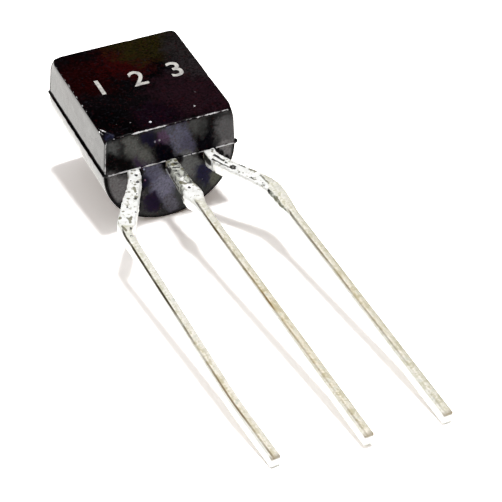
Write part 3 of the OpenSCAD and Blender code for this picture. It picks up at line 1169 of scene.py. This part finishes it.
def patched_over(r, place, cloud, colour, shine, on_end):
    """Lays every painted patch of the flat and of the lead end over a colour and a shine."""
    spread = r.add("ShaderNodeSeparateXYZ", {0: place}).outputs
    leaning = r.plus(spread["X"], r.times(spread["Z"], PATCH_LEAN))
    patch_place = r.combined(leaning, spread["Y"], r.times(spread["Z"], PATCH_SQUEEZE))
    group = patch_group()
    off_end = r.off(on_end)
    patch_list = [((x, y, FLAT_DEPTH), off_end, *rest) for x, y, *rest in FLAT_TINTS_AND_GLINTS]
    patch_list += [((x, 0, z), on_end, *rest) for x, z, *rest in END_PAINTED_REFLECTIONS]
    for centre, cover, radius, tone, gloss in patch_list:
        inputs = {"Vector": patch_place, "Cloud": cloud, "Colour": colour, "Shine": shine}
        inputs |= {"Centre": drawn_out(LYING @ Vector(centre)), "Radius": radius * MM}
        inputs |= {"Cover": cover, "Patch Colour": tone, "Patch Shine": gloss}
        laid = r.group(group, inputs)
        colour = laid["Colour"]
        shine = laid["Shine"]
    return colour, shine


def epoxy_material():
    r = emptied(bpy.data.materials.new("black moulding epoxy"))
    place = r.place()
    cloud = r.noise(place, 3200, 6, 0.7)
    drift = r.noise(place, 900, 2, 0.5)
    drifting = r.between(drift, 0.35, 0.65)
    colour = r.blend(drifting, (0.0003, 0.0002, 0.0004), (0.0016, 0.0008, 0.0013))
    shine = r.between(drift, 0.35, 0.65, 0.15, 0.5)
    on_end = r.attribute("lead_end")
    # painted reflections, painted shade, painted glints and faint tints, laid in patches
    colour, shine = patched_over(r, place, cloud, colour, shine, on_end)
    grain = r.noise(place, 14000, 2, 0.6)
    on_flat = r.between(grain, 0.32, 0.68, 0.3, 1.75)
    flour = r.lerp(on_end, on_flat, r.between(grain, 0.3, 0.7, 0.7, 1.3))
    colour = r.blend(1.0, colour, flour, "MULTIPLY")

    # darkening: painted shade on the rims of the round back's ends and in a narrow band on the
    # polished walls just over the parting plane, and black on the far corners and the nub; above
    # is the height in millimetres over the parting plane
    *up, rise = LYING.inverted()[2]
    above = r.plus(r.over("DOT_PRODUCT", "Value", place, up), rise)
    uneven = r.plus(above, r.swing(cloud, 0.12))
    seam = r.times(r.between(uneven, 0.15, 0.12), r.between(above, 0, 0.02))
    darkening = r.larger(r.attribute("darkening"), r.times(seam, r.attribute("polish")))
    colour = r.blend(darkening, colour, (0.0005, 0.0005, 0.0005))
    shine = r.times(shine, r.off(darkening))

    # reddish and grey grains of the filler
    grains = r.between(r.noise(place, 12000, 2), 0.52, 0.72)
    greyish = r.between(r.noise(place, 5000, 1), 0.4, 0.6)
    tint = r.blend(greyish, (0.03, 0.002, 0.003), (0.012, 0.012, 0.016))
    colour = r.blend(r.times(grains, 0.55), colour, tint)
    speckle = r.between(r.noise(place, 22000, 2, 0.6), 0.35, 0.65, 0.75, 1.0)
    shine = r.times(shine, speckle)

    # wear and a painted highlight on the rounded edges, the break and the flash, in a pale
    # colour
    edge_breakup = r.swing(r.noise(place, 4200, 3, 0.6), 2.2)
    wear_and_highlight = r.between(r.plus(r.attribute("edge"), edge_breakup), 0.5, 0.8)
    colour = r.blend(wear_and_highlight, colour, (0.75, 0.73, 0.74))
    walls = r.times(r.attribute("polish"), r.between(cloud, 0.3, 0.7, 0.82, 1.0))
    shine = r.larger(shine, r.minus(walls, darkening))
    return r.principled(
        {
            "Base Color": colour,
            "Roughness": r.between(drift, 0.3, 0.7, 0.2, 0.34),
            "IOR": 1.08,
            "Coat Weight": shine,
            "Coat Roughness": 0.12,
            "Coat IOR": 1.5,
            "Normal": r.bump(r.noise(place, 9000, 2, 0.6), 0.12, 0.01 * MM),
        }
    )


def print_material():
    r = emptied(bpy.data.materials.new("worn white print"))
    worn = r.patches(r.place(), 5000, 0.6, 0.12)
    colour = r.blend(worn, (0.35, 0.34, 0.33), (0.62, 0.6, 0.56))
    return r.principled({"Base Color": colour, "Roughness": 0.6})


def lead_material():
    r = emptied(bpy.data.materials.new("tinned lead"))
    place = r.place()
    along = r.attribute("along")
    across = r.attribute("across")
    height = r.attribute("height")
    tin = r.attribute("tin")
    run = r.combined(r.times(along, 0.12), across, height)
    streaks = r.noise(run, 14.0, 3, 0.55)
    cloud = r.noise(place, 4500, 3, 0.6)
    ragged = r.swing(cloud, 1.6)

    # the bare shank: straw-coloured on top, clean on its sheared sides, with a dark line along
    # its burr
    straw = r.attribute("straw")
    darkening = r.attribute("darkening")
    far_shade_share = r.attribute("far_edge_shade")
    grit = r.swing(r.noise(place, 15000, 2, 0.6), 1.3)
    mottle = r.between(r.plus(streaks, r.plus(grit, ragged)), 0.28, 0.68)
    bright = r.blend(straw, (0.98, 0.96, 0.9), (0.97, 0.9, 0.75))
    dark = r.blend(straw, (0.7, 0.69, 0.55), (0.62, 0.54, 0.32))
    dull = r.blend(mottle, dark, bright)
    pale = r.times(r.between(across, -0.02, 0.1, 0, 0.6), r.off(far_shade_share))
    dull = r.blend(pale, dull, (1, 0.98, 0.94))
    dull = r.blend(r.between(cloud, 0.55, 0.68, 0, 0.5), dull, (0.55, 0.58, 0.46))
    # painted shade along the edge of the top across from the dark line, scaled by far_edge_shade
    far_edge_shade = r.times(r.between(across, -0.03, SHANK_W / 2 - 0.02, 0, 0.5), far_shade_share)
    dull = r.blend(far_edge_shade, dull, (0.5, 0.47, 0.34))
    clean = (0.99, 0.99, 0.97)
    from_line = r.minus(across, r.between(along, 0, 11, -0.125, -0.065))
    rolled = r.times(r.between(from_line, -0.01, -0.03), darkening)
    dull = r.blend(rolled, dull, clean)
    bare = r.blend(r.between(height, -0.04, -0.07), dull, clean)
    at_line = r.between(r.math("ABSOLUTE", from_line), 0.038, 0.02)
    at_line = r.times(at_line, r.between(height, -0.06, -0.03))
    line = r.blend(straw, (0.016, 0.013, 0.004), (0.24, 0.14, 0.03))
    broken = r.between(r.noise(run, 7.0), 0.35, 0.55, 0.4, 1.3)
    at_line = r.times(at_line, r.times(darkening, broken))
    bare = r.blend(at_line, bare, line)

    # the cut tip: browned along its upper edge, with a grey burr along its lower one
    to_tip = r.attribute("to_tip")
    browned = r.times(r.between(to_tip, 0.16, 0.02, 0, 0.75), r.between(height, -0.12, -0.03))
    bare = r.blend(browned, bare, (0.3, 0.24, 0.16))
    burr = r.times(r.between(to_tip, 0.04, 0.01, 0, 0.7), r.between(height, -0.29, -0.34))
    bare = r.blend(burr, bare, (0.3, 0.32, 0.28))

    # the underside is painted darker: painted shade, which also bounces less light onto the
    # floor in the lead's shadow
    bare = r.blend(r.between(height, -0.365, -0.378, 0, 0.8), bare, (0.52, 0.5, 0.43))

    # the dipped tin, with flux burnt into its hollows
    coat = r.blend(streaks, (0.96, 0.96, 0.93), (1, 1, 0.98))
    flecks = r.patches(place, 9000, 0.4, 0.04)
    flecks = r.times(flecks, r.between(height, -0.12, -0.05, 0.0, 0.6))
    coat = r.blend(flecks, coat, (0.3, 0.28, 0.18))
    metal = r.blend(tin, bare, coat)

    # dull dross where the dip did not wet the lead
    skin = r.noise(place, 8000, 3, 0.65)
    burnt = r.blend(straw, (0.05, 0.052, 0.042), (0.42, 0.43, 0.3))
    oxide = r.blend(r.between(skin, 0.4, 0.58), burnt, (0.62, 0.63, 0.56))
    dross = r.between(r.plus(r.attribute("dross"), ragged), 0.3, 0.6, 0, 0.95)
    metal = r.blend(dross, metal, oxide)

    stain = r.between(r.plus(r.attribute("stain"), ragged), 0.35, 0.65, 0, 0.85)
    metal = r.blend(stain, metal, (0.13, 0.12, 0.055))
    pit = r.between(r.plus(r.attribute("pit"), r.times(ragged, 0.5)), 0.3, 0.5)
    # painted shade from the side_shade marks joins the pits, in the same black
    pit = r.larger(pit, r.between(r.attribute("side_shade"), 0.2, 0.5))
    colour = r.blend(pit, metal, (0.008, 0.006, 0.004))
    unmarked = r.off(r.larger(pit, stain))
    on_side = r.between(height, -0.08, -0.14)
    return r.principled(
        {
            "Base Color": colour,
            "Roughness": r.between(streaks, 0.3, 0.7, 0.4, 0.55),
            "Metallic": r.times(unmarked, r.lerp(on_side, r.lerp(tin, 0.18, 0.08), 0.8)),
            "IOR": 1.5,
            "Normal": r.bump(r.times(cloud, tin), 0.5, 0.01 * MM),
        }
    )


def inner_material(name, low, high, scale, rough, metallic):
    """Finish of a piece inside the moulding: two tones in patches and a fine bump."""
    r = emptied(bpy.data.materials.new(name))
    place = r.place()
    cloud = r.patches(place, scale, 0.5, 0.15)
    return r.principled(
        {
            "Base Color": r.blend(cloud, low, high),
            "Roughness": r.between(cloud, 0, 1, rough, rough + 0.15),
            "Metallic": metallic,
            "Normal": r.bump(r.noise(place, 4 * scale), 0.3, 0.005 * MM),
        }
    )


def wears(piece, material):
    piece.data.materials.clear()
    piece.data.materials.append(material)


def repainted(node, material):
    """A CAD node keeps its mesh and gets a better material in its slots."""
    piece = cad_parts[node]
    if not piece.material_slots:
        piece.data.materials.append(material)
    for slot in piece.material_slots:
        slot.material = material


# ---- floor, light and camera ----

FLOOR_SIDE = 400
PAPER = (0.9, 0.9, 0.88)
PAPER_SEEN = (1.9, 1.88, 1.87)
PAPER_GLOW = (0.055, 0.026, 0.006)
MIRRORED = (1, 0.972, 0.93)
MIRRORED_STRENGTH = 1.32
SHADOW_REACH = 4
CAMERA_AT = (-18.969, -43.176, 32.861)
CAMERA_TURN = (56.0365, 1.4241, -25.6153)
CAMERA_LENS = 137.88
CAMERA_SENSOR = 36

# Sun lamps: strength, width of the light in degrees, and where it shines from
KEY = (2.06, 9, (0.08, -0.08, 1))
FILL = (0.55, 25, (-0.75, -0.25, 0.6))
SKY = (0.8, 170, (0, 0, 1))
SOFTBOX_FROM = (0.1, -0.35, 0.93)
SOFTBOX_AWAY = 60
SOFTBOX_SIDE = 50
SOFTBOX_STRENGTH = 0.012
WORLD_STRENGTH = 0.05


def floor():
    """White paper. The camera sees it bright, and mirrors in the object see it glow white, with
    painted shade near the object from an occlusion node.

    From below it is clear, so that the underside of the object can be looked at.
    """
    bpy.ops.mesh.primitive_plane_add(size=FLOOR_SIDE * MM, location=(0, 0, 0))
    sheet = named("white_floor")
    r = emptied(bpy.data.materials.new("white paper"))
    light = r.add("ShaderNodeLightPath").outputs
    white = r.blend(light["Is Camera Ray"], PAPER, PAPER_SEEN)
    paper = r.add("ShaderNodeBsdfDiffuse", {"Color": white})
    glow = {"Color": PAPER_GLOW, "Strength": light["Is Camera Ray"]}
    seen = r.add("ShaderNodeEmission", glow)
    open_sky = r.add("ShaderNodeAmbientOcclusion", {"Distance": SHADOW_REACH * MM}).outputs["AO"]
    direct = r.math("LESS_THAN", light["Diffuse Depth"], 0.5)
    in_mirror = r.times(light["Is Glossy Ray"], direct)
    bright = r.times(r.times(r.math("SQRT", open_sky), in_mirror), MIRRORED_STRENGTH)
    mirrored = r.add("ShaderNodeEmission", {"Color": MIRRORED, "Strength": bright})
    both = r.add("ShaderNodeAddShader", {0: seen.outputs[0], 1: mirrored.outputs[0]})
    upper = r.add("ShaderNodeAddShader", {0: paper.outputs[0], 1: both.outputs[0]})
    under = r.add("ShaderNodeNewGeometry").outputs["Backfacing"]
    clear = r.add("ShaderNodeBsdfTransparent")
    shader = r.add("ShaderNodeMixShader", {0: under, 1: upper.outputs[0], 2: clear.outputs[0]})
    wears(sheet, r.material(shader))


def placed(name, data):
    """Puts a lamp or a camera into the scene."""
    thing = bpy.data.objects.new(name, data)
    bpy.context.scene.collection.objects.link(thing)
    return thing


def lamp(name, kind, strength, source):
    """A lamp that shines from the direction source down on the origin."""
    hung = placed(name, bpy.data.lights.new(name, kind))
    hung.data.energy = strength
    hung.rotation_mode = "QUATERNION"
    hung.rotation_quaternion = Vector(source).to_track_quat("Z", "Y")
    return hung


def sun(name, strength, width, source):
    hung = lamp(name, "SUN", strength, source)
    hung.data.angle = radians(width)
    return hung


def lights():
    sun("key", *KEY)
    softbox = lamp("softbox", "AREA", SOFTBOX_STRENGTH, SOFTBOX_FROM)
    softbox.data.size = SOFTBOX_SIDE * MM
    softbox.location = Vector(SOFTBOX_FROM) * SOFTBOX_AWAY * MM
    softbox.visible_diffuse = False
    sun("fill", *FILL)
    sun("sky", *SKY).visible_glossy = False
    world = bpy.data.worlds.new("studio")
    bpy.context.scene.world = world
    r = emptied(world)
    light = r.add("ShaderNodeLightPath").outputs
    strength = r.between(light["Is Camera Ray"], 0, 1, WORLD_STRENGTH, 1.0)
    backdrop = r.add("ShaderNodeBackground", {"Color": (1, 1, 1), "Strength": strength})
    r.add("ShaderNodeOutputWorld", {"Surface": backdrop.outputs[0]})


def camera():
    eye = bpy.data.cameras.new("camera")
    eye.lens = CAMERA_LENS
    eye.sensor_width = CAMERA_SENSOR
    eye.clip_start = 1 * MM
    eye.clip_end = 1
    stand = placed("camera", eye)
    stand.location = Vector(CAMERA_AT) * MM
    stand.rotation_euler = [radians(a) for a in CAMERA_TURN]
    bpy.context.scene.camera = stand


# ---- the whole scene ----

nothing_selected()
body = moulded_body()
numbers = pin_numbers()
leads = [collector(), base(), emitter()]

wears(body, epoxy_material())
wears(numbers, print_material())
lead_finish = lead_material()
for lead in leads:
    wears(lead, lead_finish)
silicon = ("bare silicon", (0.1, 0.11, 0.14), (0.17, 0.18, 0.22), 3000, 0.2, 0.4)
paste = ("silver-filled paste", (0.4, 0.4, 0.4), (0.6, 0.6, 0.58), 5000, 0.5, 0.6)
wire = ("gold wire", (0.8, 0.52, 0.16), (0.9, 0.66, 0.26), 9000, 0.22, 1.0)
repainted("silicon_die", inner_material(*silicon))
repainted("die_attach", inner_material(*paste))
gold = inner_material(*wire)
repainted("base_bond_wire", gold)
repainted("emitter_bond_wire", gold)

floor()
lights()
camera()
bpy.context.scene.view_settings.view_transform = "Standard"
